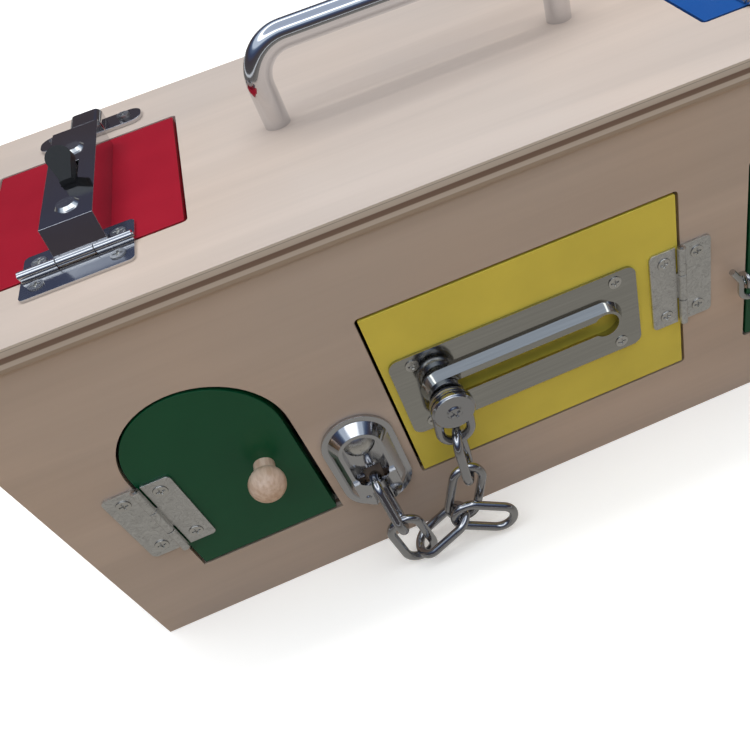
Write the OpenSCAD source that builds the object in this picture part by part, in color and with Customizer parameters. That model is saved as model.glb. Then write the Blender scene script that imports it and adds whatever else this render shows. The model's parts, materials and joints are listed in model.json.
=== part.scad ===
// Wooden lock box toy: a plywood box with five small doors, each held by a different fastening.
// Millimetres, +Z up. The base lies on Z = 0, the front face looks along -Y, X runs along the length.

/* [Box] */
// Length of the box
box_l = 375; // [340:1:450]
// Depth of the box, front face to back face
box_d = 155; // [140:1:200]
// Height of the box
box_h = 160; // [150:1:200]
// Thickness of the plywood panels
panel_t = 8; // [7:0.5:12]
// How far the top panel stands out past the walls
top_lip = 1; // [0:0.5:3]
// Thickness of the two inner dividers
divider_t = 6; // [4:0.5:10]

/* [Doors] */
// Thickness of a door
door_t = 6; // [4:0.5:8]
// Gap between a door and its opening
door_gap = 1.2; // [1:0.1:2]
// Gap at the free edge of the arched door
free_gap = 2.4; // [1:0.1:3]
// Corner radius of the square doors
door_r = 0.6; // [0.4:0.1:6]
// Height of the lower edge of the front openings
front_sill = 33.2; // [28:0.2:45]
// Height of the upper edge of the front openings
front_head = 121; // [112:1:130]
// Distance of the outer front doors from the ends of a box of the usual length
side_door_in = 32.5; // [26:0.5:45]
// Width of the arched opening
arch_w = 61; // [50:1:66]
// Width of the opening for the chain door
chain_door_w = 123.5; // [112:0.5:130]
// Offset of the chain door from the middle of the box
chain_door_x = 3.75; // [0:0.25:8]
// Width of the opening for the hook door
hook_door_w = 61; // [54:1:66]
// Distance of the lid openings from the ends of the box
lid_in = 19.3; // [14:0.1:30]
// Width of a lid opening
lid_w = 73.4; // [66:0.1:80]
// Length of a lid opening, front to back
lid_d = 88.5; // [80:0.5:96]
// Offset of the lid openings from the middle of the depth
lid_y = -1.25; // [-6:0.25:4]

/* [Hinges] */
// Length of a butt hinge
hinge_l = 38; // [30:1:45]
// Width of one hinge leaf
leaf_w = 13; // [10:0.2:16]
// Thickness of a hinge leaf
leaf_t = 1; // [0.8:0.1:1.5]
// Outer radius of a knuckle
knuckle_r = 1.7; // [1.5:0.1:2.2]
// Radius of a hinge pin
pin_r = 0.8; // [0.6:0.1:1]
// Distance of the leaf screws from the pin
leaf_screw_x = 7; // [6:0.1:9]
// Distance between the two screws of a leaf
leaf_screw_l = 27; // [20:1:32]
// Height of the middle of the hinge on the arched door
arch_hinge_z = 69; // [60:1:75]
// Height of the middle of the hinges on the square front doors
front_hinge_z = 78; // [66:1:88]

/* [Screws] */
// Radius of a screw head
head_r = 2.6; // [2:0.1:3.2]
// Height of a screw head
head_h = 1.4; // [1:0.1:2]
// Radius of a screw shank
shank_r = 1.2; // [1:0.1:1.4]
// Depth of a screw in the wood
shank_l = 4.5; // [3:0.5:5]

/* [Handle] */
// Distance between the feet of the carry handle
handle_l = 115.5; // [90:0.5:130]
// Offset of the handle from the middle of the box
handle_x = 1.25; // [-5:0.25:5]
// Height of the handle over the top
handle_h = 34; // [28:1:50]
// Radius of the handle rod
handle_r = 5; // [3.5:0.25:6]
// Radius of the bends, on the middle of the rod
handle_bend = 14.5; // [10:0.5:18]

/* [Knob and catch] */
// Radius of the wooden ball
knob_r = 7; // [5:0.25:9]
// Radius of the neck under the ball
knob_neck_r = 4; // [3:0.25:5]
// Distance of the middle of the ball from the door
knob_out = 10; // [9:0.5:15]
// Distance of the knob from the hinge edge of the arched opening
knob_in = 43.8; // [36:0.2:50]
// Height of the knob
knob_z = 73.5; // [60:0.5:88]
// Height of the magnet catch behind the arched door
catch_z = 62; // [50:1:80]
// Height of the magnet and its plate
catch_h = 14; // [10:1:20]

/* [Door chain] */
// Length of the slide plate
plate_l = 100; // [90:1:104]
// Height of the slide plate
plate_h = 40; // [36:0.5:50]
// Thickness of the pressed sheet
sheet_t = 1.2; // [1:0.1:1.5]
// Height of the raised rail over the door
rail_h = 5.2; // [4.6:0.1:6.5]
// Half the outer width of the rail
rail_r = 9; // [8.5:0.1:11]
// Half the width of the slot
slot_r = 3.6; // [3.2:0.1:3.8]
// Length of the slot, between its end centres
slot_l = 67.5; // [60:0.5:72]
// Distance of the plate from the free edge of the opening
plate_in = 4; // [3:0.5:8]
// Distance of the slot from the left edge of the plate
slot_in = 16.7; // [14:0.1:18]
// Radius of the slider head
slider_r = 8.5; // [7:0.25:9]
// Radius of the slider neck
neck_r = 2.5; // [2:0.1:2.8]
// Wire thickness of a chain link
wire_d = 3.8; // [3.4:0.1:4]
// Length of a chain link over all
link_l = 30.2; // [29.2:0.1:31.2]
// Width of a chain link over all
link_w = 16.4; // [16:0.1:17]
// Play between two linked links
link_play = 0.3; // [0.2:0.05:0.6]
// Height of the oval anchor plate
anchor_l = 53; // [46:1:56]
// Width of the oval anchor plate
anchor_w = 29; // [27:0.5:30]
// Height of the middle of the anchor plate
anchor_z = 53.5; // [48:0.5:58]

/* [Lid latch] */
// Width of the latch housing
latch_w = 18; // [16:0.5:22]
// Length of the latch housing
latch_l = 74.5; // [70:0.5:80]
// Height of the latch housing
latch_h = 11; // [9.5:0.25:14]
// Lean of the housing's front, from its foot to its top
latch_rake = 4.5; // [2:0.25:5]
// Width of the sliding bolt
bolt_w = 8.8; // [8:0.2:12]
// Thickness of the sliding bolt
bolt_t = 3; // [2.5:0.25:4]
// Travel of the sliding bolt
latch_travel = 12; // [8:0.5:13]
// Width of the keeper over its ears
keeper_w = 43; // [38:1:50]
// Length of the keeper along the bolt
keeper_l = 12.5; // [10:0.5:16]

/* [Barrel bolt] */
// Radius of the round bolt on the second lid
rod_r = 3; // [2.5:0.25:4]
// Travel of the round bolt
rod_travel = 12; // [8:0.5:13]

/* [Hook and eye] */
// Wire radius of the hook
hook_wire = 1.3; // [1:0.1:1.5]
// Length of the hook from its pivot to the bend
hook_l = 30.6; // [26:0.2:38]
// Wire radius of the fixed eye
eye_wire = 1; // [0.8:0.1:1.2]
// Radius of the eye's ring, on the middle of the wire
eye_r = 2.8; // [2.4:0.1:3.4]
// Height of the hook pivot
hook_z = 62; // [56:1:80]
// Height of the fixed eye
eye_z = 70; // [68:1:80]

/* [Hidden] */
$fn = 48;
front_y = -box_d / 2;
play = 0.3;
fit = 0.05;
knuckle_z = knuckle_r + play;
knuckle_l = (hinge_l - 2 * play) / 3;

usual_box_l = 375;
spread = box_l / usual_box_l;
arch_x0 = -box_l / 2 + (side_door_in + arch_w / 2) * spread - arch_w / 2;
arch_x1 = arch_x0 + arch_w;
arch_axis = arch_x0 + door_gap / 2;
knob_x = arch_x0 + knob_in;
catch_in = 6.8;
catch_plate_t = 1;
catch_d = 10;
catch_gap = catch_plate_t + 0.1;
chain_x0 = chain_door_x - chain_door_w / 2;
chain_x1 = chain_door_x + chain_door_w / 2;
chain_axis = chain_x1 - door_gap / 2;
hook_x1 = box_l / 2 - (side_door_in + hook_door_w / 2) * spread + hook_door_w / 2;
hook_x0 = hook_x1 - hook_door_w;
hook_axis = hook_x1 - door_gap / 2;
red_x = -box_l / 2 + lid_in + lid_w / 2;
blue_x = -red_x;
lid_y0 = lid_y - lid_d / 2;
lid_y1 = lid_y + lid_d / 2;
lid_axis = lid_y0 + door_gap / 2;

left_divider_x = (arch_x1 + chain_x0) / 2;
right_divider_x = (chain_x1 + hook_x0) / 2;
catch_clear = 3;
catch_out = left_divider_x - divider_t / 2 - arch_x1 - catch_clear;

plate_x = chain_x0 + plate_in + plate_l / 2;
plate_z = (front_sill + front_head) / 2 + 0.1;
slot_x0 = plate_x - plate_l / 2 + slot_in;
plate_screw_x = plate_l / 2 - 8.8;
plate_screw_z = plate_h / 2 - 4.5;
flange_r = slot_r + 1.2;
key_r = flange_r + 0.6;
rail_slope = 2.4;
collar_z = rail_h + play;
collar_t = 2.2;
neck_l = wire_d + 1.4;
head_z = collar_z + collar_t + neck_l;
slider_t = 4;
groove_z = 1.2;
groove_t = 0.7;
head_bevel = 0.8;
cap_t = 0.7;

anchor_x = left_divider_x + 0.1;
anchor_r = anchor_w / 2;
anchor_a = anchor_l / 2 - anchor_r;
anchor_t = 1.5;
rim_r = anchor_r - 1.1;
lip_r = 8.8;
lip_h = 5.6;
bar_r = 1.2;
bar_y = -8.5;
bar_z = 6;
bridge_t = 2;
chin_r = 9;
bridge_up = 0.9;
bridge_down = 3.5;
chin_h = bar_z + bridge_t / 2;
recess_r = 7.2;
recess_y0 = bar_y + bridge_up;
recess_y1 = anchor_a + recess_r;
dome_r = 6.3;
dome_h = 3.2;
dome_ball = (dome_r * dome_r + dome_h * dome_h) / (2 * dome_h);
dome_y = recess_y1 - recess_r - play;
pocket_w = wire_d + 3.6;
pocket_d = 3;
pocket_y0 = bar_y - 8.5;
pocket_y1 = bar_y + 6;
stud_r = 1.3;
stud_at = [-pocket_w / 2 - 2.2, bar_y - 5];

latch_x = red_x + 1.5;
latch_y0 = lid_y0 + 7.5;
latch_y1 = latch_y0 + latch_l;
latch_post_r = 2;
latch_post_front = 10.8;
latch_post_back = 19.6;
rivet_r = 4.2;
rivet_h = 1;
latch_posts = [latch_y0 + latch_post_front, latch_y1 - latch_post_back];
thumb_in = 28.5;
thumb_l = 13.4;
thumb_t = 3.5;
thumb_lean = 36;
thumb_foot = 2;
thumb_y = latch_y0 + thumb_in;
thumb_w = 9;
stem_w = 5;
bolt_z = 1.4;
bolt_y1 = lid_y1 + 2.5;
keeper_y0 = lid_y1 + 6.5;
keeper_gap = 0.6;
keeper_in = bolt_w / 2 + keeper_gap;
keeper_top = bolt_z + bolt_t + keeper_gap;
keeper_t = 1.5;
keeper_out = keeper_in + keeper_t;
keeper_round = 2.4;
keeper_screw = keeper_w / 2 - 7;

rod_plate_l = 40;
grip_in = 11.5;
grip_h = 9;
grip_r = 2;
grip_ball_r = 3.2;
rod_plate_w = 26;
rod_plate_y0 = lid_y1 - door_gap - rod_plate_l - 2;
rod_z = rod_r + 1.6;
rod_y1 = lid_y1 + 1.5;
staple_y0 = lid_y1 + 4;
staple_l = 9;
strap_t = 1.2;
rod_plate_screw = [rod_plate_w / 2 - 4, rod_plate_l / 2 - 5];
staple_screw = rod_r + 6.6;

hook_in = 30;
hook_x = hook_x0 + hook_in;
hook_out = 6;
hook_bend = 5;
hook_up = 4;
hook_lean = 32;
hook_turn = 3;
hook_tip = 7;
ring_out = eye_r + eye_wire + 0.6;
eye_in = 2.4;
eye_x = hook_x0 - eye_in;

// Screws that hold fittings to the front panel, as [x, z]
front_screws = concat(
    [for (s = [-1, 1]) [arch_axis - leaf_screw_x, arch_hinge_z + s * leaf_screw_l / 2]],
    [for (s = [-1, 1]) [chain_axis + leaf_screw_x, front_hinge_z + s * leaf_screw_l / 2]],
    [for (s = [-1, 1]) [hook_axis + leaf_screw_x, front_hinge_z + s * leaf_screw_l / 2]]);
// Screws that hold fittings to the top panel, as [x, y]
top_screws = concat(
    [for (s = [-1, 1]) [red_x + s * leaf_screw_l / 2, lid_axis - leaf_screw_x]],
    [for (s = [-1, 1]) [blue_x + s * leaf_screw_l / 2, lid_axis - leaf_screw_x]]);
arch_screws = [for (s = [-1, 1]) [arch_axis + leaf_screw_x, arch_hinge_z + s * leaf_screw_l / 2]];
chain_screws = [for (s = [-1, 1]) [chain_axis - leaf_screw_x, front_hinge_z + s * leaf_screw_l / 2]];
hook_screws = [for (s = [-1, 1]) [hook_axis - leaf_screw_x, front_hinge_z + s * leaf_screw_l / 2]];
red_screws = [for (s = [-1, 1]) [red_x + s * leaf_screw_l / 2, lid_axis + leaf_screw_x]];
blue_screws = [for (s = [-1, 1]) [blue_x + s * leaf_screw_l / 2, lid_axis + leaf_screw_x]];
plate_screws = [for (s = [-1, 1], t = [-1, 1]) [plate_x + s * plate_screw_x, plate_z + t * plate_screw_z]];
rod_screws = [for (s = [-1, 1], t = [-1, 1])
    [blue_x + s * rod_plate_screw[0], rod_plate_y0 + rod_plate_l / 2 + t * rod_plate_screw[1]]];
keeper_screws = [for (s = [-1, 1]) [latch_x + s * keeper_screw, keeper_y0 + keeper_l / 2]];
staple_screws = [for (s = [-1, 1]) [blue_x + s * staple_screw, staple_y0 + staple_l / 2]];

// The chain: a direction for every link, from its upper end to its lower end
dir_1 = unit([-0.10, 0, -0.995]);
dir_2 = unit([-0.05, -0.06, -0.997]);
dir_7 = unit([0.10, -0.53, -0.85]);
dir_6 = unit([0.11, -0.05, -0.99]);
dir_5 = unit([0.90, 0.03, 0.46]);
dir_4 = unit([0.84, -0.12, -0.53]);
reach = link_l - wire_d;
step = wire_d + link_play;
side_step = wire_d / 2 + link_play;
neck_at = [slot_x0, front_y - collar_z - collar_t - neck_l / 2, plate_z];
top_1 = neck_at - dir_1 * (neck_r + link_play + wire_d / 2);
top_2 = top_1 + dir_1 * (reach - step);
bar_at = [anchor_x, front_y - bar_z, anchor_z + bar_y];
top_7 = bar_at - dir_7 * (bar_r + link_play + wire_d / 2);
top_6 = top_7 + dir_7 * (reach - step);
top_5 = top_6 + dir_6 * (reach - step);
end_5 = top_5 + dir_5 * reach;
low_2 = top_2 + dir_2 * reach;
top_3 = low_2 - unit(dir_2 + unit(end_5 - low_2)) * (step + 1.5 * link_play);
dir_3 = unit(end_5 + [0, side_step - link_play / 2, 0] - top_3);
top_4 = end_5 - dir_4 * (step + 2.5 * link_play) - [0, side_step + 2 * link_play, 0];

function unit(v) = v / norm(v);

// Places children on the front face: x along the front, y up, z out of the face
module at_front(x, z) {
    translate([x, front_y, z])
        rotate([90, 0, 0])
            children();
}

// Places children on the top face: z out of the face
module at_top(x, y) {
    translate([x, y, box_h])
        children();
}

// Turns a hinge so that its pin lies along the box
module along_x() {
    rotate([0, 0, 90])
        children();
}

module round_rect(w, l, r) {
    square([w - 2 * r, l], center = true);
    square([w, l - 2 * r], center = true);
    for (s = [-1, 1], t = [-1, 1])
        translate([s * (w / 2 - r), t * (l / 2 - r)])
            circle(r = r);
}

// A slot shape along x, between two end centres
module slot_shape(x0, x1, r) {
    translate([x0, -r])
        square([x1 - x0, 2 * r]);
    translate([x0, 0])
        circle(r = r);
    translate([x1, 0])
        circle(r = r);
}

// A slot shape along y
module tall_shape(a, r) {
    translate([-r, -a])
        square([2 * r, 2 * a]);
    for (s = [-1, 1])
        translate([0, s * a])
            circle(r = r);
}

module screw(l, h) {
    difference() {
        union() {
            translate([0, 0, h - head_h])
                cylinder(r = head_r, h = head_h);
            translate([0, 0, -l])
                cylinder(r = shank_r, h = l + h);
        }
        for (a = [0, 90])
            rotate([0, 0, a])
                translate([0, 0, h])
                    cube([head_r * 1.3, 0.8, 1.4], center = true);
    }
}

module pilot(l) {
    translate([0, 0, -l - play])
        cylinder(r = shank_r + fit, h = l + 2 * play);
}

module knuckle(k) {
    translate([0, -hinge_l / 2 + k * (knuckle_l + play), knuckle_z])
        rotate([-90, 0, 0])
            cylinder(r = knuckle_r, h = knuckle_l);
}

// One hinge leaf on the side dir of the pin, with the knuckles own; the others belong to the other leaf
module leaf(dir, own, others) {
    difference() {
        union() {
            translate([dir * leaf_w / 2, 0, 0])
                linear_extrude(leaf_t)
                    round_rect(leaf_w, hinge_l, 2);
            for (k = own)
                knuckle(k);
        }
        for (k = others)
            translate([-knuckle_r - play, -hinge_l / 2 + k * (knuckle_l + play) - play, -1])
                cube([2 * knuckle_r + 2 * play, knuckle_l + 2 * play, 2 * knuckle_z + 2]);
        translate([0, -hinge_l, knuckle_z])
            rotate([-90, 0, 0])
                cylinder(r = pin_r + fit, h = 2 * hinge_l);
        for (s = [-1, 1])
            translate([dir * leaf_screw_x, s * leaf_screw_l / 2, -1])
                cylinder(r = head_r + fit, h = leaf_t + 2);
    }
}

module frame_leaf(dir) {
    leaf(dir, [0, 2], [1]);
}

module door_leaf(dir) {
    leaf(dir, [1], [0, 2]);
}

module pin() {
    translate([0, -hinge_l / 2 - 0.5, knuckle_z])
        rotate([-90, 0, 0])
            cylinder(r = pin_r, h = hinge_l + 1);
}

// The arched outline, with one gap at the hinge side and the top and another at the free side
module arch_shape(g, free) {
    r = (arch_w - g - free) / 2;
    spring = front_head - g - r;
    translate([arch_x0 + g, front_sill + g])
        square([2 * r, spring - front_sill - g]);
    translate([arch_x0 + g + r, spring])
        circle(r = r, $fn = 96);
}

module front_shape(x0, x1, g) {
    translate([(x0 + x1) / 2, (front_sill + front_head) / 2])
        round_rect(x1 - x0 - 2 * g, front_head - front_sill - 2 * g, door_r + door_gap - g);
}

module lid_shape(x, g) {
    translate([x, lid_y])
        round_rect(lid_w - 2 * g, lid_d - 2 * g, door_r + door_gap - g);
}

// A ring with a stalk that goes into the wood, standing out of the face
module screw_eye(depth) {
    translate([0, 0, ring_out])
        rotate([90, 0, 0])
            rotate_extrude()
                translate([eye_r, 0])
                    circle(r = eye_wire, $fn = 24);
    translate([0, 0, -depth])
        cylinder(r = eye_wire, h = depth + ring_out - eye_r);
}

module half_bend() {
    rotate([90, 0, 0])
        rotate_extrude(angle = 180)
            translate([link_w / 2 - wire_d / 2, 0])
                circle(r = wire_d / 2, $fn = 24);
}

// One link, hanging from its upper end at the origin, seen flat from the front
module link() {
    leg = link_l - link_w;
    r = link_w / 2 - wire_d / 2;
    translate([0, 0, -r])
        half_bend();
    translate([0, 0, -r - leg])
        rotate([180, 0, 0])
            half_bend();
    for (s = [-1, 1])
        translate([s * r, 0, -r - leg])
            cylinder(r = wire_d / 2, h = leg, $fn = 24);
}

// Hangs a link from a point along a direction; turn 0 shows its flat side to the front
module hang(p, d, turn) {
    b = acos(-d[2]);
    a = atan2(-d[1], -d[0]);
    roll = atan2(-cos(b) * sin(a), cos(a));
    translate(p)
        rotate([0, b, a])
            rotate([0, 0, roll + turn])
                link();
}

module top_panel() {
    color("BurlyWood")
    difference() {
        translate([-box_l / 2 - top_lip, -box_d / 2 - top_lip, box_h - panel_t])
            cube([box_l + 2 * top_lip, box_d + 2 * top_lip, panel_t]);
        for (x = [red_x, blue_x])
            translate([0, 0, box_h - 2 * panel_t])
                linear_extrude(3 * panel_t)
                    lid_shape(x, 0);
        for (p = concat(top_screws, keeper_screws, staple_screws))
            at_top(p[0], p[1])
                pilot(shank_l);
        for (s = [-1, 1])
            translate([handle_x + s * handle_l / 2, 0, box_h - 2 * panel_t])
                cylinder(r = shank_r + fit, h = 3 * panel_t);
    }
}

module front_panel() {
    color("BurlyWood")
    difference() {
        translate([-box_l / 2, front_y, 0])
            cube([box_l, panel_t, box_h - panel_t]);
        at_front(0, 0)
            translate([0, 0, -2 * panel_t])
                linear_extrude(3 * panel_t)
                    arch_shape(0, 0);
        at_front(0, 0)
            translate([0, 0, -2 * panel_t])
                linear_extrude(3 * panel_t)
                    front_shape(chain_x0, chain_x1, 0);
        at_front(0, 0)
            translate([0, 0, -2 * panel_t])
                linear_extrude(3 * panel_t)
                    front_shape(hook_x0, hook_x1, 0);
        for (p = front_screws)
            at_front(p[0], p[1])
                pilot(shank_l);
        at_front(anchor_x, anchor_z + dome_y)
            pilot(shank_l);
        at_front(eye_x, eye_z)
            translate([0, 0, -shank_l - play])
                cylinder(r = eye_wire + fit, h = shank_l + 2 * play);
        at_front(anchor_x, anchor_z)
            translate([-pocket_w / 2, pocket_y0, -pocket_d])
                cube([pocket_w, pocket_y1 - pocket_y0, pocket_d + 1]);
    }
}

module back_panel() {
    color("BurlyWood")
    translate([-box_l / 2, box_d / 2 - panel_t, 0])
        cube([box_l, panel_t, box_h - panel_t]);
}

module left_end_panel() {
    color("BurlyWood")
    translate([-box_l / 2, front_y + panel_t, panel_t])
        cube([panel_t, box_d - 2 * panel_t, box_h - 2 * panel_t]);
}

module right_end_panel() {
    color("BurlyWood")
    translate([box_l / 2 - panel_t, front_y + panel_t, panel_t])
        cube([panel_t, box_d - 2 * panel_t, box_h - 2 * panel_t]);
}

module bottom_panel() {
    color("BurlyWood")
    translate([-box_l / 2, -box_d / 2 + panel_t, 0])
        cube([box_l, box_d - 2 * panel_t, panel_t]);
}

module divider(x) {
    translate([x - divider_t / 2, front_y + panel_t, panel_t])
        cube([divider_t, box_d - 2 * panel_t, box_h - 2 * panel_t]);
}

module left_divider() {
    color("Wheat")
    divider(left_divider_x);
}

module right_divider() {
    color("Wheat")
    divider(right_divider_x);
}

module carry_handle() {
    rise = handle_h - handle_r;
    half = handle_l / 2;
    color("Silver")
    translate([handle_x, 0, 0])
    difference() {
        union() {
            for (s = [-1, 1])
                translate([s * half, 0, box_h])
                    cylinder(r = handle_r, h = rise - handle_bend);
            translate([half - handle_bend, 0, box_h + rise - handle_bend])
                rotate([90, 0, 0])
                    rotate_extrude(angle = 90)
                        translate([handle_bend, 0])
                            circle(r = handle_r);
            translate([-half + handle_bend, 0, box_h + rise - handle_bend])
                rotate([90, 0, 0])
                    rotate([0, 0, 90])
                        rotate_extrude(angle = 90)
                            translate([handle_bend, 0])
                                circle(r = handle_r);
            translate([-half + handle_bend, 0, box_h + rise])
                rotate([0, 90, 0])
                    cylinder(r = handle_r, h = handle_l - 2 * handle_bend);
        }
        for (s = [-1, 1])
            translate([s * half, 0, box_h - 1])
                cylinder(r = shank_r + fit, h = 10);
    }
}

module handle_screws() {
    color("Silver")
    for (s = [-1, 1])
        translate([handle_x + s * handle_l / 2, 0, box_h - panel_t])
            rotate([180, 0, 0])
                screw(panel_t + 8, head_h);
}

module arch_hinge_frame_leaf() {
    color("Gray")
    at_front(arch_axis, arch_hinge_z)
        frame_leaf(-1);
}

module chain_door_hinge_frame_leaf() {
    color("Gray")
    at_front(chain_axis, front_hinge_z)
        frame_leaf(1);
}

module hook_door_hinge_frame_leaf() {
    color("Gray")
    at_front(hook_axis, front_hinge_z)
        frame_leaf(1);
}

module red_lid_hinge_frame_leaf() {
    color("Gray")
    at_top(red_x, lid_axis)
        along_x()
            frame_leaf(-1);
}

module blue_lid_hinge_frame_leaf() {
    color("Gray")
    at_top(blue_x, lid_axis)
        along_x()
            frame_leaf(-1);
}

module hinge_pins() {
    color("Silver") {
        at_front(arch_axis, arch_hinge_z)
            pin();
        at_front(chain_axis, front_hinge_z)
            pin();
        at_front(hook_axis, front_hinge_z)
            pin();
        for (x = [red_x, blue_x])
            at_top(x, lid_axis)
                along_x()
                    pin();
    }
}

module frame_screws() {
    color("Silver") {
        for (p = front_screws)
            at_front(p[0], p[1])
                screw(shank_l, head_h);
        for (p = top_screws)
            at_top(p[0], p[1])
                screw(shank_l, head_h);
        for (p = keeper_screws)
            at_top(p[0], p[1])
                screw(shank_l, keeper_t + head_h);
        for (p = staple_screws)
            at_top(p[0], p[1])
                screw(shank_l, strap_t + head_h);
    }
}

module latch_keeper() {
    color("Silver")
    difference() {
        union() {
            at_top(latch_x, keeper_y0 + keeper_l / 2)
                linear_extrude(keeper_t)
                    round_rect(keeper_w, keeper_l, 5);
            at_top(latch_x, keeper_y0 + keeper_l)
                rotate([90, 0, 0])
                    linear_extrude(keeper_l)
                        hull() {
                            translate([-keeper_out, 0])
                                square([2 * keeper_out, keeper_t]);
                            for (s = [-1, 1])
                                translate([s * (keeper_out - keeper_round), keeper_top + keeper_t - keeper_round])
                                    circle(r = keeper_round);
                        }
        }
        at_top(latch_x - keeper_in, keeper_y0 - 1)
            translate([0, 0, -1])
                cube([2 * keeper_in, keeper_l + 2, keeper_top + 1]);
        for (p = keeper_screws)
            at_top(p[0], p[1])
                translate([0, 0, -1])
                    cylinder(r = shank_r + fit, h = keeper_t + 2);
    }
}

module bolt_staple() {
    w = rod_r + play;
    color("Silver")
    difference() {
        union() {
            at_top(blue_x, staple_y0 + staple_l / 2)
                linear_extrude(strap_t)
                    round_rect(2 * staple_screw + 8, staple_l, 3);
            at_top(blue_x - w - strap_t, staple_y0)
                cube([2 * w + 2 * strap_t, staple_l, rod_z]);
            at_top(blue_x, staple_y0)
                translate([0, 0, rod_z])
                    rotate([-90, 0, 0])
                        cylinder(r = w + strap_t, h = staple_l);
        }
        at_top(blue_x, staple_y0 - 1)
            translate([0, 0, rod_z])
                rotate([-90, 0, 0])
                    cylinder(r = w, h = staple_l + 2);
        at_top(blue_x - w, staple_y0 - 1)
            translate([0, 0, -1])
                cube([2 * w, staple_l + 2, rod_z + 1]);
        for (p = staple_screws)
            at_top(p[0], p[1])
                translate([0, 0, -1])
                    cylinder(r = shank_r + fit, h = strap_t + 2);
    }
}

// The oval recess of the anchor plate
module recess_shape() {
    translate([0, (recess_y0 + recess_y1) / 2])
        tall_shape((recess_y1 - recess_y0) / 2 - recess_r, recess_r);
}

// A pressed plate whose rim slopes up to a lip; its chin bridges a hollow that the last link passes through
module chain_anchor_plate() {
    color("Silver")
    at_front(anchor_x, anchor_z)
        difference() {
            union() {
                linear_extrude(anchor_t)
                    tall_shape(anchor_a, anchor_r);
                difference() {
                    rotate([0, 0, 90])
                        rail_form(-anchor_a, anchor_a, rim_r, lip_r, lip_h);
                    translate([0, 0, anchor_t])
                        linear_extrude(lip_h)
                            recess_shape();
                }
                intersection() {
                    linear_extrude(chin_h)
                        difference() {
                            tall_shape(anchor_a, chin_r);
                            recess_shape();
                        }
                    translate([-anchor_r, -anchor_l, 0])
                        cube([anchor_w, anchor_l + recess_y0 + recess_r / 2, chin_h]);
                }
                translate([stud_at[0], stud_at[1], chin_h])
                    cylinder(r1 = stud_r, r2 = stud_r / 2, h = stud_r / 2);
            }
            translate([-pocket_w / 2, pocket_y0, -1])
                cube([pocket_w, pocket_y1 - pocket_y0, chin_h - bridge_t + 1]);
            translate([-pocket_w / 2, bar_y - bridge_down - anchor_l, anchor_t])
                cube([pocket_w, anchor_l, chin_h]);
            translate([0, dome_y, -1])
                cylinder(r = shank_r + fit, h = anchor_t + 2);
        }
}

module anchor_screw() {
    color("Silver")
    at_front(anchor_x, anchor_z + dome_y) {
        translate([0, 0, -shank_l])
            cylinder(r = shank_r, h = shank_l + anchor_t + dome_h / 2);
        intersection() {
            translate([0, 0, anchor_t + dome_h - dome_ball])
                sphere(r = dome_ball);
            translate([0, 0, anchor_t])
                cylinder(r = dome_r, h = dome_h);
        }
    }
}

module fixed_eye() {
    color("Silver")
    at_front(eye_x, eye_z)
        rotate([0, 0, 90])
            screw_eye(shank_l);
}

module magnet_catch() {
    color("DimGray")
    translate([arch_x1 - free_gap - catch_in, front_y + door_t + catch_gap, catch_z - catch_h / 2])
        difference() {
            cube([catch_in + catch_out, catch_d, catch_h]);
            translate([free_gap + catch_in - play, -1, -1])
                cube([catch_out + 2, panel_t - door_t - catch_gap + 1, catch_h + 2]);
        }
}

module arch_door() {
    color("DarkGreen")
    difference() {
        at_front(0, 0)
            translate([0, 0, -door_t])
                linear_extrude(door_t)
                    arch_shape(door_gap, free_gap);
        for (p = arch_screws)
            at_front(p[0], p[1])
                pilot(shank_l);
        at_front(knob_x, knob_z)
            translate([0, 0, -door_t - 1])
                cylinder(r = shank_r + fit, h = door_t + 2);
    }
}

module arch_door_hinge_leaf() {
    color("Gray")
    at_front(arch_axis, arch_hinge_z)
        door_leaf(1);
}

module arch_door_screws() {
    color("Silver")
    for (p = arch_screws)
        at_front(p[0], p[1])
            screw(shank_l, head_h);
}

module ball_knob() {
    color("Tan")
    at_front(knob_x, knob_z)
        difference() {
            union() {
                translate([0, 0, knob_out])
                    sphere(r = knob_r);
                cylinder(r = knob_neck_r, h = knob_out);
            }
            translate([0, 0, -1])
                cylinder(r = shank_r + fit, h = 10);
        }
}

module knob_screw() {
    color("Silver")
    at_front(knob_x, knob_z)
        translate([0, 0, -door_t])
            rotate([180, 0, 0])
                screw(door_t + 8, head_h);
}

module catch_plate() {
    color("Silver")
    translate([arch_x1 - free_gap - catch_in, front_y + door_t, catch_z - catch_h / 2])
        cube([catch_in - play, catch_plate_t, catch_h]);
}

module chain_door() {
    color("Gold")
    difference() {
        at_front(0, 0)
            translate([0, 0, -door_t])
                linear_extrude(door_t)
                    front_shape(chain_x0, chain_x1, door_gap);
        for (p = concat(chain_screws, plate_screws))
            at_front(p[0], p[1])
                pilot(shank_l);
    }
}

module chain_door_hinge_leaf() {
    color("Gray")
    at_front(chain_axis, front_hinge_z)
        door_leaf(-1);
}

module chain_door_screws() {
    color("Silver")
    for (p = chain_screws)
        at_front(p[0], p[1])
            screw(shank_l, head_h);
}

// A raised form with sloping sides and round ends
module rail_form(x0, x1, r1, r2, h) {
    translate([x0, 0, 0])
        rotate([90, 0, 90])
            linear_extrude(x1 - x0)
                polygon([[-r1, 0], [r1, 0], [r2, h], [-r2, h]]);
    for (x = [x0, x1])
        translate([x, 0, 0])
            cylinder(r1 = r1, r2 = r2, h = h);
}

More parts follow.
